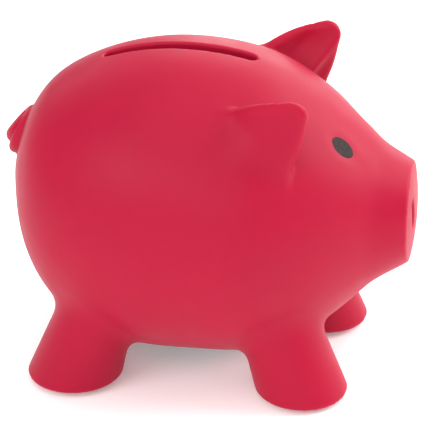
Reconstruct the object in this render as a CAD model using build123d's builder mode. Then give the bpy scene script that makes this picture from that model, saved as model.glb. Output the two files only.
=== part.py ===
"""Pig coin bank: a hollow soft-PVC casting, its belly stopper and two printed eyes.

Millimetres. +X runs from rump to snout, +Y to the pig's left, +Z up. The origin is on the
ground, under the middle of the pig's length and width.
"""

from build123d import *
import math
import os

# Driving dimensions ------------------------------------------------------------------------

LENGTH = 109.2            # tail to snout
WALL = 2.4                # soft-PVC wall
AXIS_HEIGHT = 45.5        # height of the body's long axis above the ground
NOSE_DOWN = 0.6           # the long axis dips towards the snout, in degrees

RUMP_X = -52.3            # rear pole of the body
BELLY_RADIUS = 41.3       # the widest section
SNOUT_RIM_X = 53.2
SNOUT_RADIUS = 13.4
SNOUT_ROUNDING = 0.6
SNOUT_CROWN = LENGTH / 2 - SNOUT_RIM_X     # the snout's disc stands forward this much

SLOT_LENGTH = 40.0        # passes coins up to 38 mm across
SLOT_WIDTH = 4.6
SLOT_X = -7.7

LEG_TOP = 35.0            # the legs' cones end at this height, inside the body
FRONT_FOOT = (29.4, 20.4, 12.4)            # x, y and radius on the ground
FRONT_LEG_TOP = (17.0, 19.5, 9.6)          # x, y and radius at LEG_TOP
REAR_FOOT = (-32.4, 23.6, 12.7)
REAR_LEG_TOP = (-20.1, 22.5, 10.0)
SOLE_ROUNDING = 2.4
LEG_BLEND = 3.0           # hollow round between a leg and the body

EAR_REAR_ROOT = Vector(11.6, 19.0, 79.2)   # left ear: where its rear edge leaves the head
EAR_FRONT_ROOT = Vector(25.6, 27.6, 63.9)  # left ear: where its front edge meets the cheek
EAR_TIP = Vector(28.6, 28.5, 84.0)
EAR_HEIGHT = 17.4
EAR_THICKNESS = 4.4
EAR_ROUNDING = 1.2
EAR_ROOT_DEPTH = 5.0      # the leaf runs on into the head
EAR_DISH_RADIUS = 16.0    # the hollow of the ear's inner face
EAR_DISH_DEPTH = 1.8

TAIL_RING_RADIUS = 3.8    # the tail's curl
TAIL_THICKNESS = 4.2
TAIL_HEIGHT = 61.4
TAIL_LEAN = 34.0          # the curl's plane leans back over the rump, in degrees
TAIL_TIP = (1.5, 7.0, -1.6)                # the tip peeps out below the curl, in the curl's plane
TAIL_TIP_RADIUS = 1.5

EYE_X = 36.9
EYE_ANGLE = 29.6          # round the head from its crown, in degrees
EYE_LENGTH = 7.4
EYE_WIDTH = 5.2
EYE_DEPTH = 0.7
EYE_POCKET = 0.6          # how far the eye is sunk into the skin
EYE_ROUNDING = 0.1
EYE_CLEARANCE = 0.02

NOSTRIL_SPACING = 8.4
NOSTRIL_HEIGHT = 7.0
NOSTRIL_WIDTH = 2.6
NOSTRIL_DEPTH = 1.5

PLUG_X = -6.0
PLUG_HOLE_RADIUS = 12.2
PLUG_CLEARANCE = 0.1
PLUG_FLANGE_RADIUS = 14.0
PLUG_SEAT_HEIGHT = 9.3    # underside of the shell's land round the hole
PLUG_LAND = 3.0
PLUG_FLANGE_EDGE = 1.2
PLUG_FACE_HEIGHT = 6.6    # lowest point of the plug's domed face
PLUG_LIP = 2.4            # the snap lip above the land
PLUG_GROOVE = 0.6         # depth of the groove that the land sits in
PLUG_CUP_WALL = 2.4
GRIP_RADIUS = 9.2         # finger pockets in the plug's face
GRIP_BAR = 3.6
GRIP_ROOF_HEIGHT = 11.6

# The body's outline above its long axis, from the rump to the back of the snout
BODY_OUTLINE = [
    (RUMP_X, 0),
    (-41.5, 28.4),
    (-23.4, 39.1),
    (-4.0, BELLY_RADIUS),
    (18.6, 37.6),
    (32.0, 30.1),
    (41.8, 21.3),
    (48.0, 16.4),         # the snout's straight cone starts here
]

tilt = math.radians(NOSE_DOWN)
long_axis = Axis((0, 0, AXIS_HEIGHT), (math.cos(tilt), 0, -math.sin(tilt)))
# Outlines are drawn with x along the body's long axis and y as the distance from it
outline_plane = Plane(origin=long_axis.position, x_dir=long_axis.direction, z_dir=(0, -1, 0))


with BuildLine():
    back = Spline(*BODY_OUTLINE, tangents=[(0, 1), (1, -0.62)])


def body_profile(inset):
    """Half section of the body beside its long axis, drawn in by the inset."""
    outline = []
    for point in BODY_OUTLINE:
        along = back.tangent_at(Vector(*point))
        outline.append(Vector(*point) + Vector(along.Y, -along.X) * inset)
    rim = (SNOUT_RIM_X - inset, SNOUT_RADIUS - inset)
    snout_tip = (SNOUT_RIM_X + SNOUT_CROWN - inset, 0)
    with BuildSketch(outline_plane) as profile:
        with BuildLine():
            Spline(*outline, tangents=[back % 0, back % 1])
            Line(outline[-1], rim)
            TangentArc(snout_tip, rim, tangent=(0, 1))
            Line(snout_tip, outline[0])
        make_face()
        fillet(profile.vertices().sort_by_distance(rim)[0], SNOUT_ROUNDING)
    return profile.sketch


def leg(foot, top, inset):
    """One leg as a leaning cone with a rounded sole, drawn in by the inset."""
    low = Vector(foot[0], foot[1])
    high = Vector(top[0], top[1])
    share = inset / LEG_TOP
    centre = low + (high - low) * share
    radius = foot[2] + (top[2] - foot[2]) * share - inset
    with BuildPart() as cone:
        with BuildSketch(Plane.XY.offset(inset)):
            with Locations(centre):
                Circle(radius)
        with BuildSketch(Plane.XY.offset(LEG_TOP)):
            with Locations(high):
                Circle(top[2] - inset)
        loft(ruled=True)
        fillet(cone.edges().group_by(Axis.Z)[0], SOLE_ROUNDING - 0.5 * inset)
    return cone.part


# Left ear ----------------------------------------------------------------------------------

ear_plane = Plane(
    origin=EAR_REAR_ROOT,
    x_dir=EAR_FRONT_ROOT - EAR_REAR_ROOT,
    z_dir=(EAR_FRONT_ROOT - EAR_REAR_ROOT).cross(EAR_TIP - EAR_REAR_ROOT),
)
ear_span = (EAR_FRONT_ROOT - EAR_REAR_ROOT).length

with BuildPart() as ear:
    with BuildSketch(ear_plane):
        with BuildLine():
            leaf = Spline(
                (0, -1),
                (0.07 * ear_span, 0.46 * EAR_HEIGHT),
                (0.25 * ear_span, 0.84 * EAR_HEIGHT),
                (0.46 * ear_span, EAR_HEIGHT),
                (0.63 * ear_span, 0.89 * EAR_HEIGHT),
                (0.79 * ear_span, 0.56 * EAR_HEIGHT),
                (ear_span, -1),
            )
            Polyline(leaf @ 0, (0, -EAR_ROOT_DEPTH), (ear_span, -EAR_ROOT_DEPTH), leaf @ 1)
        make_face()
    extrude(amount=EAR_THICKNESS / 2, both=True)
    rims = ear.faces().filter_by(Axis(ear_plane.origin, ear_plane.z_dir))
    fillet(rims.edges().filter_by(GeomType.BSPLINE), EAR_ROUNDING)
    dish_height = EAR_THICKNESS / 2 + EAR_DISH_RADIUS - EAR_DISH_DEPTH
    dish_centre = ear_plane.from_local_coords((0.46 * ear_span, 0.42 * EAR_HEIGHT, dish_height))
    with Locations(dish_centre):
        Sphere(EAR_DISH_RADIUS, mode=Mode.SUBTRACT)

# Tail --------------------------------------------------------------------------------------

lean = math.radians(TAIL_LEAN)
tail_x = -LENGTH / 2 + TAIL_RING_RADIUS * math.sin(lean) + TAIL_THICKNESS / 2
tail_plane = Plane(
    origin=(tail_x, 0, TAIL_HEIGHT), x_dir=(0, 1, 0), z_dir=(-math.cos(lean), 0, math.sin(lean))
)

# Body's round form, which the eyes are set on ----------------------------------------------

with BuildPart() as body_form:
    add(body_profile(0))
    revolve(axis=long_axis)

# Eyes, each set square to the skin where a line from the long axis meets it -----------------

left_eye_line = Axis(
    (EYE_X, 0, AXIS_HEIGHT),
    (0, math.sin(math.radians(EYE_ANGLE)), math.cos(math.radians(EYE_ANGLE))),
)
eye_point, eye_normal = body_form.part.find_intersection_points(left_eye_line)[-1]
eye_floor = Plane(
    origin=eye_point - eye_normal * EYE_POCKET,
    x_dir=Vector(0, 1, 0).cross(eye_normal),
    z_dir=eye_normal,
)

with BuildPart() as eye_left:
    with BuildSketch(eye_floor):
        Ellipse(EYE_LENGTH / 2, EYE_WIDTH / 2)
    extrude(amount=EYE_DEPTH)
    fillet(eye_left.faces().sort_by(Axis(eye_point, eye_normal))[-1].edges(), EYE_ROUNDING)

with BuildPart() as eye_right:
    add(mirror(eye_left.part, about=Plane.XZ, mode=Mode.PRIVATE))

with BuildPart() as eye_pocket:
    with BuildSketch(eye_floor):
        Ellipse(EYE_LENGTH / 2 + EYE_CLEARANCE, EYE_WIDTH / 2 + EYE_CLEARANCE)
    extrude(amount=2 * EYE_DEPTH)

# Body shell --------------------------------------------------------------------------------

LEGS = ((FRONT_FOOT, FRONT_LEG_TOP), (REAR_FOOT, REAR_LEG_TOP))
snout_face = Plane(
    origin=long_axis.position + long_axis.direction * (SNOUT_RIM_X + SNOUT_CROWN),
    x_dir=(0, 1, 0),
    z_dir=long_axis.direction,
)

# The hollow inside runs down into the legs, and stops at a flat land round the plug's hole
plug_seat = Plane(origin=(PLUG_X, 0, PLUG_SEAT_HEIGHT), z_dir=(0, 0, 1))
with BuildPart() as cavity:
    add(body_profile(WALL))
    revolve(axis=long_axis)
    for foot, top in LEGS:
        inner_leg = leg(foot, top, WALL)
        add(inner_leg)
        add(mirror(inner_leg, about=Plane.XZ, mode=Mode.PRIVATE))
    with BuildSketch(plug_seat):
        Circle(PLUG_FLANGE_RADIUS + WALL)
    extrude(amount=PLUG_LAND, both=True, mode=Mode.SUBTRACT)

with BuildPart() as body_shell:
    # Solid outer form
    add(body_form.part)
    for foot, top in LEGS:
        outer_leg = leg(foot, top, 0)
        add(outer_leg)
        add(mirror(outer_leg, about=Plane.XZ, mode=Mode.PRIVATE))
    creases = body_shell.edges().filter_by_position(Axis.Z, 2 * SOLE_ROUNDING, LEG_TOP)
    fillet(creases.filter_by(lambda edge: edge.is_closed), LEG_BLEND)
    add(ear.part)
    add(mirror(ear.part, about=Plane.XZ, mode=Mode.PRIVATE))
    with Locations(tail_plane):
        Torus(TAIL_RING_RADIUS, TAIL_THICKNESS / 2)
    with Locations(tail_plane.from_local_coords(TAIL_TIP)):
        Sphere(TAIL_TIP_RADIUS)

    add(cavity.part, mode=Mode.SUBTRACT)

    # Seat and hole for the belly plug
    with BuildSketch(plug_seat):
        Circle(PLUG_FLANGE_RADIUS + PLUG_CLEARANCE)
    extrude(amount=-PLUG_SEAT_HEIGHT, mode=Mode.SUBTRACT)
    with BuildSketch(plug_seat):
        Circle(PLUG_HOLE_RADIUS)
    extrude(amount=2 * PLUG_LAND, mode=Mode.SUBTRACT)

    # Coin slot in the back
    with BuildSketch(Plane.XY.offset(AXIS_HEIGHT)):
        with Locations((SLOT_X, 0)):
            SlotOverall(SLOT_LENGTH, SLOT_WIDTH)
    extrude(amount=2 * BELLY_RADIUS, mode=Mode.SUBTRACT)

    # Nostrils
    with BuildSketch(snout_face):
        with Locations((-NOSTRIL_SPACING / 2, 0), (NOSTRIL_SPACING / 2, 0)):
            Ellipse(NOSTRIL_WIDTH / 2, NOSTRIL_HEIGHT / 2)
    extrude(amount=-NOSTRIL_DEPTH, mode=Mode.SUBTRACT)

    # Eye pockets
    add(eye_pocket.part, mode=Mode.SUBTRACT)
    add(mirror(eye_pocket.part, about=Plane.XZ, mode=Mode.PRIVATE), mode=Mode.SUBTRACT)

# Belly plug --------------------------------------------------------------------------------

neck = PLUG_HOLE_RADIUS - PLUG_CLEARANCE
land_top = PLUG_SEAT_HEIGHT + PLUG_LAND
edge_bottom = PLUG_SEAT_HEIGHT - PLUG_FLANGE_EDGE

with BuildPart() as belly_plug:
    with BuildSketch(Plane(origin=(PLUG_X, 0, 0), x_dir=(1, 0, 0), z_dir=(0, -1, 0))):
        with BuildLine():
            face_centre = (0, PLUG_FACE_HEIGHT)
            face = TangentArc(face_centre, (PLUG_FLANGE_RADIUS, edge_bottom), tangent=(1, 0))
            Polyline(
                face @ 1,
                (PLUG_FLANGE_RADIUS, PLUG_SEAT_HEIGHT),
                (neck - PLUG_GROOVE, PLUG_SEAT_HEIGHT),
                (neck - PLUG_GROOVE, land_top),
                (neck, land_top + PLUG_GROOVE),
                (neck, land_top + PLUG_LIP - PLUG_GROOVE),
                (neck - PLUG_GROOVE, land_top + PLUG_LIP),
                (neck - PLUG_CUP_WALL, land_top + PLUG_LIP),
                (neck - PLUG_CUP_WALL, GRIP_ROOF_HEIGHT + PLUG_CUP_WALL),
                (0, GRIP_ROOF_HEIGHT + PLUG_CUP_WALL),
                face_centre,
            )
        make_face()
    revolve(axis=Axis((PLUG_X, 0, 0), (0, 0, 1)))
    # Two finger pockets with a grip bar left between them
    with BuildSketch(Plane(origin=(PLUG_X, 0, GRIP_ROOF_HEIGHT), z_dir=(0, 0, 1))):
        Circle(GRIP_RADIUS)
        Rectangle(GRIP_BAR, 2 * GRIP_RADIUS, mode=Mode.SUBTRACT)
    extrude(amount=-GRIP_ROOF_HEIGHT, mode=Mode.SUBTRACT)

# Output ------------------------------------------------------------------------------------

os.makedirs("parts", exist_ok=True)
for name, piece in (
    ("body_shell", body_shell),
    ("belly_plug", belly_plug),
    ("eye_left", eye_left),
    ("eye_right", eye_right),
):
    piece.part.label = name
    export_step(piece.part, f"parts/{name}.step")
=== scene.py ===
"""Soft-PVC pig coin bank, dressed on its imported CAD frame.

The pig's skin is one closed mesh, taken from a distance field: body, legs, ears and tail melt
into each other, and the hollow, the coin slot and the plug's seat are cut out of them. Shapes
are worked out in millimetres in the frame's own axes, and meshes are made in metres.
"""

import math

import bpy
import numpy as np
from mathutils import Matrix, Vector


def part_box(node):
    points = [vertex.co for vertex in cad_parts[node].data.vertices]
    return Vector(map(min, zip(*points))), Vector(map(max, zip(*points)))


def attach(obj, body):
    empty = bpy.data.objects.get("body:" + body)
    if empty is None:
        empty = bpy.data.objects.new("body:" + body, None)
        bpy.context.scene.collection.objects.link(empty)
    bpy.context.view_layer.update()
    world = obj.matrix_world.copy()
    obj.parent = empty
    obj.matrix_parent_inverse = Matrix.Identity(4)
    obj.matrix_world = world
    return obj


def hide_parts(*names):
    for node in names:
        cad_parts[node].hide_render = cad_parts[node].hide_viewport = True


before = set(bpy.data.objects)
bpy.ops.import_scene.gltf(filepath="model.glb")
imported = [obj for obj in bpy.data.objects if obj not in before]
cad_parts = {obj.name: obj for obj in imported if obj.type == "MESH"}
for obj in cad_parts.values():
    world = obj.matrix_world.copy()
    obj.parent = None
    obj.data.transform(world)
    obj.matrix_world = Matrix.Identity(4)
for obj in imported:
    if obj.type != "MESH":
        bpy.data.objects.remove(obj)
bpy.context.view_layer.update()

MM = 0.001


def to_list(corner):
    return [float(value) for value in corner]


SHELL_LOW, SHELL_HIGH = (np.array(to_list(c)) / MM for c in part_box("body_shell"))
PLUG_LOW, PLUG_HIGH = (np.array(to_list(c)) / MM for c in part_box("belly_plug"))

# Driving sizes, in millimetres --------------------------------------------------------------

WALL = 2.4

# The body is round about an axis that bows a little; x and height of the axis
AXIS_LINE = [(-53, 49.4), (-36, 45.9), (-18, 45.4), (0, 45.8), (18, 44.8), (36, 44.5), (54, 45.65)]
BODY_OUTLINE = [          # x, radius: from the rump's pole to the back of the snout
    (SHELL_LOW[0] + 2.26, 0),
    (-49.6, 12.2),
    (-46.5, 20.8),
    (-41.5, 28.5),
    (-33.0, 35.2),
    (-23.4, 39.2),
    (-12.0, 41.2),
    (0.0, 41.2),
    (10.0, 40.3),
    (18.6, 38.1),
    (26.0, 34.4),
    (32.0, 30.3),
    (37.0, 26.0),
    (41.8, 21.4),
    (45.2, 18.35),
    (48.2, 16.4),
]
OUTLINE_START = (0, 1)    # tangents at the outline's two ends
OUTLINE_END = (1, -0.6)
SNOUT_TIP_X = SHELL_HIGH[0] + 0.35
SNOUT_RIM_X = SNOUT_TIP_X - 1.35
SNOUT_RADIUS = 13.3
SNOUT_ROUNDING = 0.55
SNOUT_TILT = 0.022        # the disc's lower part stands forward
SNOUT_Z = AXIS_LINE[-1][1]

LEG_TOP = 35.0
FRONT_LEG = ((29.4, 20.6, 12.35), (17.0, 18.4, 9.4))   # x, y, radius: on the ground, at LEG_TOP
REAR_LEG = ((-32.4, 23.5, 12.9), (-21.0, 22.0, 8.9))
SOLE_ROUNDING = 0.8
SOLE_DOME = 1.7           # the sole's edge is this much off the ground
LEG_BLEND = 3.6

# Left ear: two root points and the tip give its plane. In it, a runs along the root towards the
# snout, h up from the root, and n is the depth towards the ear's open, inner side
EAR_REAR_ROOT = (11.6, 19.0, 79.2)
EAR_FRONT_ROOT = (25.6, 27.6, 63.9)
EAR_TIP = (28.6, 28.5, 84.0)
EAR_OUTLINE = [           # a, h
    (-0.6, -1.0),
    (1.3, 4.4),
    (2.9, 7.9),
    (4.8, 11.4),
    (7.1, 14.9),
    (8.8, 17.0),
    (10.8, 17.6),
    (12.9, 16.7),
    (14.6, 14.3),
    (16.2, 11.8),
    (17.9, 8.7),
    (19.6, 4.7),
    (22.0, 0.6),
    (23.4, -1.6),
]
EAR_MIDDLE = [            # a, n of the leaf's middle: the rear rim rolls outwards
    (-2, -2.9), (3, -2.8), (6, -2.1), (9, -1.0), (12, -0.2), (15, 0.1), (19, 0.0), (24, -0.4),
]
EAR_THICKNESS = 3.1
EAR_ROUNDING = 1.5
EAR_ROOT_DEPTH = 7.0
EAR_HOLLOW = (1.9, 7.2, 3.0, 7.0, 6.5)     # depth; middle and half width along a; the same up h
EAR_FOLD = (1.5, 12.7, 1.6)                # height, middle, half width along a
EAR_FOLD_REACH = 14.0     # the fold fades out towards this height
EAR_SWELL = (5.2, 11.5, 6.5)               # the root's bulge outside: size, middle, half width
EAR_SWELL_REACH = 13.5
EAR_BLEND_OUTSIDE = 4.0   # the head takes the ear up softly outside, and crisply inside
EAR_BLEND_INSIDE = 1.2

TAIL_CENTRE = (4.3, 61.4)                  # in from the rump's extreme, height
TAIL_LEAN = 34.0          # the curl's plane leans out over the rump, in degrees
TAIL_ROUTE = [            # turns from the top, distance from the centre, lift, radius
    (-0.10, 3.4, -1.9, 2.1),
    (0.12, 3.7, -0.5, 2.2),
    (0.30, 3.7, 0.2, 2.2),
    (0.50, 3.7, 0.5, 2.2),
    (0.75, 3.8, 0.1, 2.1),
    (1.00, 4.7, -0.5, 2.0),
    (1.20, 5.6, -0.8, 1.8),
    (1.36, 6.3, -1.3, 1.6),
    (1.47, 6.5, -2.0, 1.3),
]

SLOT_X = -7.7
SLOT_LENGTH = 40.0
SLOT_WIDTH = 4.1
SLOT_LIP = 4.6            # the wall's thickness round the slot

NOSTRIL_Y = 5.8
NOSTRIL_RISE = 2.3        # above the disc's centre
NOSTRIL_SIZE = (1.3, 1.35, 3.8)            # half depth, half width, half height

EYE_X = 36.8
EYE_ANGLE = 28.7
EYE_SIZE = (3.90, 2.80)                    # half length, half width
EYE_TURN = 10.0           # the long axis swings up towards the snout, in degrees
EYE_DIMPLE = 0.4          # the skin dips softly round each eye
EYE_PROUD = 0.06

PLUG_X = (PLUG_LOW[0] + PLUG_HIGH[0]) / 2
PLUG_SEAT = 9.3
PLUG_LAND = 3.0
PLUG_HOLE = 12.2
PLUG_FLANGE = (PLUG_HIGH[0] - PLUG_LOW[0]) / 2
PLUG_FACE = PLUG_LOW[2]
PLUG_TOP = PLUG_HIGH[2]
PLUG_EDGE = 1.2
PLUG_NECK = 12.1
PLUG_GROOVE = 0.6
GRIP_RADIUS = 9.2
GRIP_BAR = 3.6
GRIP_ROOF = 11.6
CUP_WALL = 2.4

# Distance fields ----------------------------------------------------------------------------

def smooth_min(a, b, blend):
    """Join two fields with a hollow round of about the blend's size."""
    mix = np.clip(0.5 + 0.5 * (b - a) / blend, 0, 1)
    return b + (a - b) * mix - blend * mix * (1 - mix)


def smooth_max(a, b, blend):
    """Cut one field by another and round the edge that is left."""
    return -smooth_min(-a, -b, blend)


def curve_through(points, start=None, end=None, per_span=16):
    """Points of a cubic curve through the given ones, by Hermite spans on chord length."""
    p = np.array(points, float)
    t = np.concatenate([[0], np.cumsum(np.linalg.norm(np.diff(p, axis=0), axis=1))])
    n = len(p)
    system = np.zeros((n, n))
    right = np.zeros((n, 2))
    step = np.diff(t)
    for i in range(1, n - 1):
        system[i, i - 1] = 1 / step[i - 1]
        system[i, i] = 2 / step[i - 1] + 2 / step[i]
        system[i, i + 1] = 1 / step[i]
        right[i] = 3 * ((p[i] - p[i - 1]) / step[i - 1] ** 2 + (p[i + 1] - p[i]) / step[i] ** 2)
    for row, near, tangent in ((0, 1, start), (n - 1, n - 2, end)):
        system[row, row] = 1
        if tangent is None:
            system[row, near] = 0.5
            chord = (p[near] - p[row]) / (t[near] - t[row])
            right[row] = 1.5 * chord
        else:
            right[row] = np.array(tangent) / np.linalg.norm(tangent)
    slope = np.linalg.solve(system, right)
    out = []
    for i in range(n - 1):
        s = np.linspace(0, 1, per_span, endpoint=False)[:, None]
        out.append(
            (2 * s**3 - 3 * s**2 + 1) * p[i]
            + (s**3 - 2 * s**2 + s) * step[i] * slope[i]
            + (3 * s**2 - 2 * s**3) * p[i + 1]
            + (s**3 - s**2) * step[i] * slope[i + 1]
        )
    return np.vstack(out + [p[-1:]])


class OutlineField:
    """Signed distance to a closed flat outline, tabled once and read by interpolation."""

    def __init__(self, outline, step, margin):
        a = np.array(outline, float)
        b = np.roll(a, -1, axis=0)
        self.low = a.min(0) - margin
        self.step = step
        self.size = np.ceil((a.max(0) + margin - self.low) / step).astype(int) + 1
        sides = (self.low[i] + step * np.arange(self.size[i]) for i in (0, 1))
        u, v = np.meshgrid(*sides, indexing="ij")
        point = np.stack([u.ravel(), v.ravel()], -1)
        nearest = np.full(len(point), 1e9)
        crossings = np.zeros(len(point), int)
        for start, end in zip(a, b):
            edge = end - start
            if edge @ edge == 0:
                continue
            off = point - start
            along = np.clip(off @ edge / (edge @ edge), 0, 1)
            nearest = np.minimum(nearest, ((off - along[:, None] * edge) ** 2).sum(1))
            spans = (start[1] > point[:, 1]) != (end[1] > point[:, 1])
            if spans.any():
                height = (point[spans, 1] - start[1]) / edge[1]
                crossings[spans] += point[spans, 0] < start[0] + height * edge[0]
        distance = np.sqrt(nearest) * np.where(crossings % 2 == 1, -1, 1)
        self.table = distance.reshape(self.size)

    def __call__(self, u, v):
        x = np.clip((u - self.low[0]) / self.step, 0, self.size[0] - 1.001)
        y = np.clip((v - self.low[1]) / self.step, 0, self.size[1] - 1.001)
        i, j = x.astype(int), y.astype(int)
        x, y = x - i, y - j
        t = self.table
        lower = t[i, j] * (1 - x) + t[i + 1, j] * x
        upper = t[i, j + 1] * (1 - x) + t[i + 1, j + 1] * x
        outside = np.hypot(
            u - np.clip(u, self.low[0], self.low[0] + self.step * (self.size[0] - 1)),
            v - np.clip(v, self.low[1], self.low[1] + self.step * (self.size[1] - 1)),
        )
        return lower * (1 - y) + upper * y + outside


def rounded_slab(outline, thickness_side, rounding):
    """Cut two fields by each other, square to each other, with a round along the edge."""
    a, b = outline + rounding, thickness_side + rounding
    return np.minimum(np.maximum(a, b), 0) + np.hypot(np.maximum(a, 0), np.maximum(b, 0)) - rounding


def make_body_field():
    """The round body about its bowed axis, snout included."""
    back = curve_through(BODY_OUTLINE, OUTLINE_START, OUTLINE_END)
    rim = np.array([SNOUT_RIM_X, SNOUT_RADIUS])
    tip = np.array([SNOUT_TIP_X, 0])
    crown = tip[0] - rim[0]
    disc_radius = (SNOUT_RADIUS**2 + crown**2) / (2 * crown)
    disc_angle = np.linspace(math.asin(SNOUT_RADIUS / disc_radius), 0, 12)
    disc_x = tip[0] - disc_radius * (1 - np.cos(disc_angle))
    disc = np.stack([disc_x, disc_radius * np.sin(disc_angle)], -1)
    # The rim's corner is rounded by a short curve between two points beside it
    cone_in = rim + (back[-1] - rim) / np.linalg.norm(back[-1] - rim) * SNOUT_ROUNDING
    disc_in = rim + (disc[1] - rim) / np.linalg.norm(disc[1] - rim) * SNOUT_ROUNDING
    s = np.linspace(0, 1, 7)[:, None]
    corner = (1 - s) ** 2 * cone_in + 2 * s * (1 - s) * rim + s**2 * disc_in
    half = np.vstack([back, corner, disc[disc[:, 1] < disc_in[1]]])
    whole = np.vstack([half, (half * [1, -1])[-2:0:-1]])
    field = OutlineField(whole, 0.5, 6.0)

    axis = curve_through(AXIS_LINE)

    def body_field(p):
        rise = p[:, 2] - np.interp(p[:, 0], axis[:, 0], axis[:, 1])
        front = np.clip((p[:, 0] - 44) / 8, 0, 1)
        return field(p[:, 0] + SNOUT_TILT * front * rise, np.hypot(p[:, 1], rise))

    return body_field


def leg_field(p, leg):
    """A pair of leaning legs, one each side, with rounded soles."""
    (foot_x, foot_y, foot_r), (top_x, top_y, top_r) = leg
    share = p[:, 2] / LEG_TOP
    off_x = p[:, 0] - foot_x - (top_x - foot_x) * share
    off_y = np.abs(p[:, 1]) - foot_y - (top_y - foot_y) * share
    off = np.hypot(off_x, off_y)
    side = off - foot_r - (top_r - foot_r) * share
    sole = SOLE_DOME * np.clip(off / foot_r, 0, 1.2) ** 3 - p[:, 2]
    return np.maximum(rounded_slab(side, sole, SOLE_ROUNDING), p[:, 2] - LEG_TOP)


def hump(value, middle, half_width):
    """A smooth rise to 1 at the middle."""
    return np.exp(-(((value - middle) / half_width) ** 2))


def make_ear_field():
    """Both ears: distance to them, and how softly the head takes them up there."""
    origin = np.array(EAR_REAR_ROOT)
    along = np.array(EAR_FRONT_ROOT) - origin
    along /= np.linalg.norm(along)
    rise = np.array(EAR_TIP) - origin
    rise -= (rise @ along) * along
    rise /= np.linalg.norm(rise)
    inward = np.cross(along, rise)
    leaf = curve_through(EAR_OUTLINE)
    root = [(leaf[-1][0], -EAR_ROOT_DEPTH), (leaf[0][0], -EAR_ROOT_DEPTH)]
    field = OutlineField(np.vstack([leaf, root]), 0.3, 5.0)
    middle_line = curve_through(EAR_MIDDLE)
    hollow_depth, hollow_a, hollow_half_a, hollow_h, hollow_half_h = EAR_HOLLOW
    fold_height, fold_a, fold_half_a = EAR_FOLD
    swell_size, swell_a, swell_half_a = EAR_SWELL

    def ear_field(p):
        off = np.stack([p[:, 0], np.abs(p[:, 1]), p[:, 2]], -1) - origin
        a, h, n = off @ along, off @ rise, off @ inward
        middle = np.interp(a, middle_line[:, 0], middle_line[:, 1])
        hollow = hollow_depth * hump(a, hollow_a, hollow_half_a) * hump(h, hollow_h, hollow_half_h)
        fold = fold_height * hump(a, fold_a, fold_half_a) * np.clip(1.35 - h / EAR_FOLD_REACH, 0, 1)
        fade = np.clip(1 - h / EAR_SWELL_REACH, 0, 1.6) ** 1.3
        swell = swell_size * hump(a, swell_a, swell_half_a) * fade
        inner = middle + EAR_THICKNESS / 2 - hollow + fold
        outer = middle - EAR_THICKNESS / 2 - swell
        side = np.abs(n - (inner + outer) / 2) - (inner - outer) / 2
        blend = np.interp(n - middle, [-3, 1], [EAR_BLEND_OUTSIDE, EAR_BLEND_INSIDE])
        return rounded_slab(field(a, h), side, EAR_ROUNDING), blend

    return ear_field


def tail_route():
    """Centre line and radius of the curl: from a root under the skin, one turn, then away down."""
    lean = math.radians(TAIL_LEAN)
    out = np.array([-math.cos(lean), 0, math.sin(lean)])
    up = np.array([math.sin(lean), 0, math.cos(lean)])
    side = np.array([0.0, 1.0, 0.0])
    centre = np.array([SHELL_LOW[0] + TAIL_CENTRE[0], 0, TAIL_CENTRE[1]])
    knots = np.array(TAIL_ROUTE)
    turn = np.linspace(knots[0, 0], knots[-1, 0], 72)
    reach, lift, radius = (
        np.interp(turn, *curve_through(knots[:, [0, i]]).T) for i in (1, 2, 3)
    )
    angle = 2 * math.pi * (turn + 0.25)
    route = (
        centre
        + (reach * np.cos(angle))[:, None] * side
        + (reach * np.sin(angle))[:, None] * up
        + lift[:, None] * out
    )
    return route, radius


def tail_field(p, route, radius):
    """Distance to the curl; far from it only a rough value is given."""
    middle = route.mean(0)
    rough = np.linalg.norm(p - middle, axis=1) - 9.0
    near = rough < 5.0
    out = rough + 2.0
    q = p[near]
    best = np.full(len(q), 1e9)
    for i in range(len(route) - 1):
        edge = route[i + 1] - route[i]
        off = q - route[i]
        along = np.clip(off @ edge / (edge @ edge), 0, 1)
        span = np.linalg.norm(off - along[:, None] * edge, axis=1)
        best = np.minimum(best, span - radius[i] - (radius[i + 1] - radius[i]) * along)
    out[near] = best
    return out


def slot_field(p):
    """The coin slot: a stadium in plan, open upwards from the body's axis."""
    reach = SLOT_LENGTH / 2 - SLOT_WIDTH / 2
    x = np.abs(p[:, 0] - SLOT_X)
    plan = np.hypot(np.maximum(x - reach, 0), p[:, 1]) - SLOT_WIDTH / 2
    return np.maximum(plan, SNOUT_Z - p[:, 2])


def disc_field(p, radius, low, high):
    """An upright round disc under the belly, about the plug's axis."""
    side = np.hypot(p[:, 0] - PLUG_X, p[:, 1]) - radius
    return np.maximum(side, np.maximum(low - p[:, 2], p[:, 2] - high))


def nostril_field(p):
    """Two upright oval dimples in the snout's disc."""
    u = (p[:, 0] - SNOUT_TIP_X + 0.2) / NOSTRIL_SIZE[0]
    v = (np.abs(p[:, 1]) - NOSTRIL_Y) / NOSTRIL_SIZE[1]
    w = (p[:, 2] - SNOUT_Z - NOSTRIL_RISE) / NOSTRIL_SIZE[2]
    return (np.sqrt(u * u + v * v + w * w) - 1) * min(NOSTRIL_SIZE)


body_field = make_body_field()
ear_field = make_ear_field()
tail = tail_route()


def trunk_field(p):
    """Body and legs, melted into each other."""
    trunk = body_field(p)
    for leg in (FRONT_LEG, REAR_LEG):
        trunk = smooth_min(trunk, leg_field(p, leg), LEG_BLEND)
    return trunk


def gradient(field, p, reach=0.05):
    """Slope of a field at the given points."""
    return np.stack([
        (field(p + reach * axis) - field(p - reach * axis)) / (2 * reach) for axis in np.eye(3)
    ], -1)


def on_skin(field, start, direction):
    """Where a ray that starts inside the field leaves it, and the skin's normal there."""
    low, high = 0.0, 80.0
    for _ in range(40):
        half = (low + high) / 2
        if field((start + direction * half)[None])[0] < 0:
            low = half
        else:
            high = half
    point = start + direction * low
    normal = gradient(field, point[None])[0]
    return point, normal / np.linalg.norm(normal)


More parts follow.
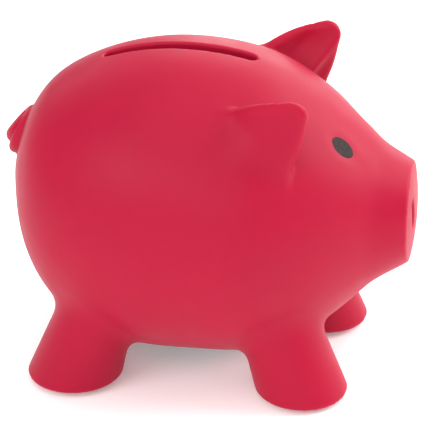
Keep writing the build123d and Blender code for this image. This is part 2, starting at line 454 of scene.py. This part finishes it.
eye_ray = np.array([0, math.sin(math.radians(EYE_ANGLE)), math.cos(math.radians(EYE_ANGLE))])
eye_point, eye_normal = on_skin(trunk_field, np.array([EYE_X, 0, SNOUT_Z]), eye_ray)
eye_long = np.cross([0, 1, 0], eye_normal)
eye_long /= np.linalg.norm(eye_long)
eye_wide = np.cross(eye_normal, eye_long)


eye_turn = math.radians(EYE_TURN)
eye_long, eye_wide = (
    eye_long * math.cos(eye_turn) - eye_wide * math.sin(eye_turn),
    eye_long * math.sin(eye_turn) + eye_wide * math.cos(eye_turn),
)


def eye_dimple(p):
    """How far the skin is pressed in, round the eyes."""
    off = np.stack([p[:, 0], np.abs(p[:, 1]), p[:, 2]], -1) - eye_point
    u, v, n = off @ eye_long, off @ eye_wide, off @ eye_normal
    spread = (u / EYE_SIZE[0]) ** 2 + (v / EYE_SIZE[1]) ** 2
    return EYE_DIMPLE * np.exp(-0.55 * spread**2 - (n / 3) ** 2)


def plug_field(p):
    """The plug: flange, groove, snap lip and cup, with two finger pockets and a bar between."""
    side = np.hypot(p[:, 0] - PLUG_X, p[:, 1])
    land_top = PLUG_SEAT + PLUG_LAND
    edge_low = PLUG_SEAT - PLUG_EDGE
    face = PLUG_FACE + (edge_low - PLUG_FACE) * np.clip(side / PLUG_FLANGE, 0, 1.1) ** 2
    flange = rounded_slab(side - PLUG_FLANGE, np.maximum(face - p[:, 2], p[:, 2] - PLUG_SEAT), 0.35)
    lip_middle = (land_top + PLUG_TOP) / 2
    swell = PLUG_GROOVE * np.clip(1.4 - np.abs(p[:, 2] - lip_middle) / (PLUG_TOP - lip_middle), 0, 1)
    neck_ends = np.maximum(PLUG_SEAT - 1 - p[:, 2], p[:, 2] - PLUG_TOP)
    neck = np.maximum(side - PLUG_NECK + PLUG_GROOVE - swell, neck_ends)
    form = smooth_min(flange, neck, 0.3)
    cup = np.maximum(side - PLUG_NECK + CUP_WALL, GRIP_ROOF + CUP_WALL - p[:, 2])
    form = smooth_max(form, -cup, 0.4)
    pocket = np.maximum(side - GRIP_RADIUS, GRIP_BAR / 2 - np.abs(p[:, 0] - PLUG_X))
    return smooth_max(form, -np.maximum(pocket, p[:, 2] - GRIP_ROOF), 0.6)


def skin_field(p):
    """The whole casting: outer form less its hollow and its openings."""
    trunk = trunk_field(p)
    form = smooth_min(trunk, *ear_field(p))
    form = smooth_min(form, tail_field(p, *tail), 0.8)
    slot = slot_field(p)
    wall = WALL + (SLOT_LIP - WALL) * np.clip(1.5 - slot / 3, 0, 1)
    land = disc_field(p, PLUG_FLANGE + WALL, 0, PLUG_SEAT + PLUG_LAND)
    form = smooth_max(form, -smooth_max(trunk + wall, -land, 1.0), 0.4)
    form = smooth_max(form, -disc_field(p, PLUG_FLANGE + 0.15, -9, PLUG_SEAT), 0.5)
    form = smooth_max(form, -disc_field(p, PLUG_HOLE, -9, 30), 0.5)
    form = smooth_max(form, -slot, 0.8)
    form = smooth_max(form, -nostril_field(p), 0.7)
    return form + eye_dimple(p)


# Meshes from distance fields ----------------------------------------------------------------

def surface_net(field, grid):
    """Quads of the field's zero surface: one point in each cell that the surface crosses."""
    shape = tuple(len(axis) for axis in grid)
    values = np.empty(shape)
    for i, x in enumerate(grid[0]):
        y, z = np.meshgrid(grid[1], grid[2], indexing="ij")
        slab = np.stack([np.full(y.size, x), y.ravel(), z.ravel()], -1)
        values[i] = field(slab).reshape(y.shape)
    inside = values < 0
    cells = tuple(n - 1 for n in shape)
    count = np.zeros(int(np.prod(cells)))
    total = np.zeros((len(count), 3))
    quads = []
    for axis in range(3):
        near = [slice(None)] * 3
        far = [slice(None)] * 3
        near[axis], far[axis] = slice(None, -1), slice(1, None)
        crossed = inside[tuple(near)] != inside[tuple(far)]
        others = [i for i in range(3) if i != axis]
        for other in others:            # edges on the grid's outside have no four cells
            crossed[tuple(0 if i == other else slice(None) for i in range(3))] = False
            crossed[tuple(-1 if i == other else slice(None) for i in range(3))] = False
        at = np.argwhere(crossed)
        ahead = at.copy()
        ahead[:, axis] += 1
        v0, v1 = values[tuple(at.T)], values[tuple(ahead.T)]
        share = v0 / (v0 - v1)
        point = np.stack([grid[i][at[:, i]] for i in range(3)], -1)
        point[:, axis] += share * (grid[axis][ahead[:, axis]] - grid[axis][at[:, axis]])
        ring = []
        for da, db in ((1, 1), (0, 1), (0, 0), (1, 0)):
            cell = at.copy()
            cell[:, others[0]] -= da
            cell[:, others[1]] -= db
            index = np.ravel_multi_index(tuple(cell.T), cells)
            ring.append(index)
            count += np.bincount(index, minlength=len(count))
            for i in range(3):
                total[:, i] += np.bincount(index, point[:, i], minlength=len(count))
        quad = np.stack(ring, -1)
        flip = (v0 < 0) == (axis == 1)
        quad[flip] = quad[flip][:, ::-1]
        quads.append(quad)
    used = np.nonzero(count)[0]
    renumber = np.zeros(len(count), int)
    renumber[used] = np.arange(len(used))
    return total[used] / count[used, None], renumber[np.vstack(quads)]


def settle(field, points, quads, spacing, rounds=6):
    """Even the points out along the surface and bring them exactly onto it."""
    pairs = np.vstack([quads[:, [0, 1]], quads[:, [1, 2]], quads[:, [2, 3]], quads[:, [3, 0]]])
    pairs = np.vstack([pairs, pairs[:, ::-1]])
    valence = np.bincount(pairs[:, 0], minlength=len(points))
    for step in range(rounds + 2):
        slope = gradient(field, points)
        square = (slope**2).sum(1)
        push = field(points) / np.maximum(square, 0.05)
        points = points - slope * np.clip(push, -spacing, spacing)[:, None]
        if step < rounds:
            mean = np.stack([
                np.bincount(pairs[:, 0], points[pairs[:, 1], i], minlength=len(points)) for i in range(3)
            ], -1) / valence[:, None]
            shift = 0.5 * (mean - points)
            normal = slope / np.sqrt(np.maximum(square, 0.05))[:, None]
            points = points + shift - (shift * normal).sum(1)[:, None] * normal
    slope = gradient(field, points)
    return points, slope / np.linalg.norm(slope, axis=1)[:, None]


def mesh_piece(name, points, faces, normals=None):
    """A Blender object from points in millimetres."""
    mesh = bpy.data.meshes.new(name)
    mesh.from_pydata((points * MM).tolist(), [], faces.tolist() if hasattr(faces, "tolist") else faces)
    mesh.validate()
    mesh.polygons.foreach_set("use_smooth", [True] * len(mesh.polygons))
    if normals is not None:
        mesh.normals_split_custom_set_from_vertices(normals.tolist())
    piece = bpy.data.objects.new(name, mesh)
    bpy.context.collection.objects.link(piece)
    return piece


def even_axis(low, high, spacing):
    return np.linspace(low, high, int(math.ceil((high - low) / spacing)) + 1)


def stepped_axis(*stops):
    """Grid values from stop to stop; each stop but the last gives its position and its spacing."""
    values = [stops[0][0]]
    for (start, spacing), (end, *_) in zip(stops, stops[1:]):
        count = int(math.ceil((end - start) / spacing))
        values += list(np.linspace(start, end, count + 1)[1:])
    return np.array(values)


INSIDE_SHARE = 0.62       # the share of the skin's faces left when its hollow side is thinned


def build_skin():
    """The pig's skin, fine where its edges are crisp, with fewer points inside the hollow."""
    low = SHELL_LOW - 2.5
    high = SHELL_HIGH + 2.5
    grid = [
        stepped_axis((low[0], 0.6), (-46, 0.85), (46, 0.55), (high[0],)),
        stepped_axis((low[1], 0.85), (-5.5, 0.45), (5.5, 0.85), (high[1],)),
        stepped_axis((low[2], 0.85), (58, 0.65), (high[2] + 2,)),
    ]
    points, quads = surface_net(skin_field, grid)
    points, _ = settle(skin_field, points, quads, 0.8, 4)
    piece = mesh_piece("pig_skin", points, quads)
    inside = piece.vertex_groups.new(name="hollow")
    depth = trunk_field(points)
    inside.add(np.nonzero(depth < -WALL / 2)[0].tolist(), 1.0, "REPLACE")
    thin = piece.modifiers.new("fewer_inside", "DECIMATE")
    thin.ratio = INSIDE_SHARE
    thin.vertex_group = "hollow"
    bpy.context.view_layer.objects.active = piece
    with bpy.context.temp_override(object=piece, active_object=piece):
        bpy.ops.object.modifier_apply(modifier=thin.name)
    mesh = piece.data
    final = np.empty(len(mesh.vertices) * 3)
    mesh.vertices.foreach_get("co", final)
    final = final.reshape(-1, 3) / MM
    normals = gradient(skin_field, final)
    normals /= np.linalg.norm(normals, axis=1)[:, None]
    mesh.normals_split_custom_set_from_vertices(normals.tolist())
    return piece


def build_plug():
    grid = [even_axis(low - 1, high + 1, 0.42) for low, high in zip(PLUG_LOW, PLUG_HIGH)]
    points, quads = surface_net(plug_field, grid)
    points, normals = settle(plug_field, points, quads, 0.4, 3)
    return mesh_piece("plug_body", points, quads, normals)


def build_eye(name, side):
    """An oval print, a little sunk, whose face follows the head's curve."""
    rings, spokes = 16, 64
    rim_start, rim_drop, depth = 0.86, 0.25, 0.6
    points = [eye_point]
    for ring in range(1, rings + 1):
        reach = ring / rings
        for spoke in range(spokes):
            angle = 2 * math.pi * spoke / spokes
            points.append(
                eye_point
                + reach * EYE_SIZE[0] * math.cos(angle) * eye_long
                + reach * EYE_SIZE[1] * math.sin(angle) * eye_wide
            )
    points = np.array(points)
    reach = np.array([0] + [ring / rings for ring in range(1, rings + 1) for _ in range(spokes)])
    for _ in range(6):
        points -= (trunk_field(points) + eye_dimple(points))[:, None] * eye_normal
    rim = np.clip(reach - rim_start, 0, 1) / (1 - rim_start)
    points += (EYE_PROUD - rim_drop * rim)[:, None] * eye_normal
    back = points[-spokes:] - depth * eye_normal
    points = np.vstack([points, back]) * [1, side, 1]
    faces = [(0, 1 + i, 1 + (i + 1) % spokes) for i in range(spokes)]
    for ring in range(rings):
        start = 1 + ring * spokes
        for i in range(spokes):
            j = (i + 1) % spokes
            faces.append((start + i, start + spokes + i, start + spokes + j, start + j))
    faces.append(tuple(range(len(points) - 1, len(points) - 1 - spokes, -1)))
    if np.cross(eye_long, eye_wide) @ eye_normal * side < 0:      # a mirrored eye turns its faces
        faces = [face[::-1] for face in faces]
    return mesh_piece(name, points, faces)


skin = build_skin()
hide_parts("body_shell")
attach(skin, "bank")

plug = build_plug()
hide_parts("belly_plug")
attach(plug, "plug")

eyes = []
for eye_name, eye_side in (("eye_left", 1), ("eye_right", -1)):
    eye = build_eye(eye_name + "_print", eye_side)
    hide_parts(eye_name)
    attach(eye, "bank")
    eyes.append(eye)


# Materials ----------------------------------------------------------------------------------

SKIN_COLOUR = (0.415, 0.003, 0.032)
FLOOR_SHADE = 0.95


def new_material(name):
    material = bpy.data.materials.new(name)
    material.use_nodes = True
    nodes = material.node_tree.nodes
    return material, nodes, material.node_tree.links, nodes["Principled BSDF"]


def noise(nodes, links, place, scale, detail):
    texture = nodes.new("ShaderNodeTexNoise")
    texture.inputs["Scale"].default_value = scale
    texture.inputs["Detail"].default_value = detail
    links.new(place.outputs["Object"], texture.inputs["Vector"])
    return texture.outputs["Fac"]


def ramp(nodes, links, source, low, high, dark, light):
    """Turn a noise into a colour that goes from dark to light between two of its values."""
    tint = nodes.new("ShaderNodeValToRGB")
    tint.color_ramp.elements[0].position = low
    tint.color_ramp.elements[1].position = high
    tint.color_ramp.elements[0].color = [*dark, 1]
    tint.color_ramp.elements[1].color = [*light, 1]
    links.new(source, tint.inputs["Fac"])
    return tint.outputs["Color"]


def bumps(nodes, links, shader, layers):
    """Stack bump layers of (height, depth in metres) under the shader's normal."""
    normal = None
    for height, depth in layers:
        bump = nodes.new("ShaderNodeBump")
        bump.inputs["Strength"].default_value = 1.0
        bump.inputs["Distance"].default_value = depth
        links.new(height, bump.inputs["Height"])
        if normal is not None:
            links.new(normal, bump.inputs["Normal"])
        normal = bump.outputs["Normal"]
    links.new(normal, shader.inputs["Normal"])


def soft_pvc(name, colour, cloudiness, roughness, specular):
    """Matt moulded PVC: faint clouding, a patchy sheen and the mould's fine grain."""
    material, nodes, links, shader = new_material(name)
    place = nodes.new("ShaderNodeTexCoord")
    cloud = noise(nodes, links, place, 38.0, 4.0)
    dark = [(1 - cloudiness) * c for c in colour]
    links.new(ramp(nodes, links, cloud, 0.32, 0.68, dark, colour), shader.inputs["Base Color"])
    wear = noise(nodes, links, place, 120.0, 5.0)
    low, high = ([roughness + d] * 3 for d in (-0.05, 0.05))
    links.new(ramp(nodes, links, wear, 0.3, 0.7, low, high), shader.inputs["Roughness"])
    grain = noise(nodes, links, place, 2400.0, 3.0)
    ripple = noise(nodes, links, place, 260.0, 2.0)
    bumps(nodes, links, shader, ((ripple, 0.00002), (grain, 0.00001)))
    shader.inputs["Specular IOR Level"].default_value = specular
    return material, shader


skin_pvc, skin_shader = soft_pvc("crimson_pvc", SKIN_COLOUR, 0.05, 0.48, 0.18)
skin_shader.inputs["Subsurface Weight"].default_value = 0.25
skin_shader.inputs["Subsurface Radius"].default_value = (1.0, 0.10, 0.15)
skin_shader.inputs["Subsurface Scale"].default_value = 0.005
skin.data.materials.append(skin_pvc)

plug_pvc, _ = soft_pvc("black_pvc", (0.022, 0.021, 0.022), 0.2, 0.5, 0.4)
plug.data.materials.append(plug_pvc)

eye_ink, nodes, links, eye_shader = new_material("eye_ink")
place = nodes.new("ShaderNodeTexCoord")
speckle = noise(nodes, links, place, 1500.0, 3.0)
links.new(
    ramp(nodes, links, speckle, 0.35, 0.65, (0.020, 0.014, 0.013), (0.040, 0.028, 0.026)),
    eye_shader.inputs["Base Color"],
)
bumps(nodes, links, eye_shader, ((speckle, 0.00003),))
eye_shader.inputs["Roughness"].default_value = 0.55
eye_shader.inputs["Specular IOR Level"].default_value = 0.12
for eye in eyes:
    eye.data.materials.append(eye_ink)


# Camera, floor and light --------------------------------------------------------------------

AZIMUTH, ELEVATION = 11.33, 26.4
DISTANCE = 0.511
TARGET = (0.0015, 0, 0.03935)
FOCAL_LENGTH = 160.7

FLOOR_REACH = 6.0
FLOOR_GLOW = 0.18         # a light table's own light
WORLD_LIGHT = 0.47

floor_mesh = bpy.data.meshes.new("floor")
corners = [(x * FLOOR_REACH, y * FLOOR_REACH, 0) for x, y in ((-1, -1), (1, -1), (1, 1), (-1, 1))]
floor_mesh.from_pydata(corners, [], [(0, 1, 2, 3)])
floor = bpy.data.objects.new("floor", floor_mesh)
bpy.context.collection.objects.link(floor)
floor_paint, _, _, floor_shader = new_material("white_sweep")
floor_shader.inputs["Base Color"].default_value = (FLOOR_SHADE, FLOOR_SHADE, FLOOR_SHADE, 1)
floor_shader.inputs["Roughness"].default_value = 0.9
floor_shader.inputs["Emission Color"].default_value = (1, 1, 1, 1)
floor_shader.inputs["Emission Strength"].default_value = FLOOR_GLOW
floor.data.materials.append(floor_paint)

world = bpy.data.worlds.new("studio")
world.use_nodes = True
world.node_tree.nodes["Background"].inputs["Color"].default_value = (1, 1, 1, 1)
world.node_tree.nodes["Background"].inputs["Strength"].default_value = WORLD_LIGHT
bpy.context.scene.world = world
bpy.context.scene.view_settings.view_transform = "Standard"


def area_light(name, place, size, power):
    light = bpy.data.lights.new(name, "AREA")
    light.shape = "SQUARE"
    light.size = size
    light.energy = power
    lamp = bpy.data.objects.new(name, light)
    lamp.location = place
    aim = Vector((0, 0, 0.04)) - Vector(place)
    lamp.rotation_euler = aim.to_track_quat("-Z", "Y").to_euler()
    bpy.context.collection.objects.link(lamp)


LIGHTS = [                # name, place and size in metres, power in watts
    ("overhead", (0.1, -0.1, 1.2), 1.2, 6.1),
    ("key", (0.75, 0.35, 0.55), 0.7, 8.8),
    ("behind", (0.1, 1.0, 0.5), 0.8, 6.2),
    ("behind_left", (-0.7, 0.7, 0.6), 0.7, 1.1),
    ("fill", (-0.6, -0.8, 0.7), 0.7, 5.6),
    ("front", (0.15, -1.0, 0.55), 0.7, 3.0),
]
for lamp_row in LIGHTS:
    area_light(*lamp_row)

camera_data = bpy.data.cameras.new("camera")
camera_data.sensor_width = 36.0
camera_data.lens = FOCAL_LENGTH
camera = bpy.data.objects.new("camera", camera_data)
azimuth, elevation = math.radians(AZIMUTH), math.radians(ELEVATION)
back_off = Vector((
    math.sin(azimuth) * math.cos(elevation), -math.cos(azimuth) * math.cos(elevation), math.sin(elevation)
))
camera.location = Vector(TARGET) + back_off * DISTANCE
camera.rotation_euler = (-back_off).to_track_quat("-Z", "Y").to_euler()
bpy.context.collection.objects.link(camera)
bpy.context.scene.camera = camera
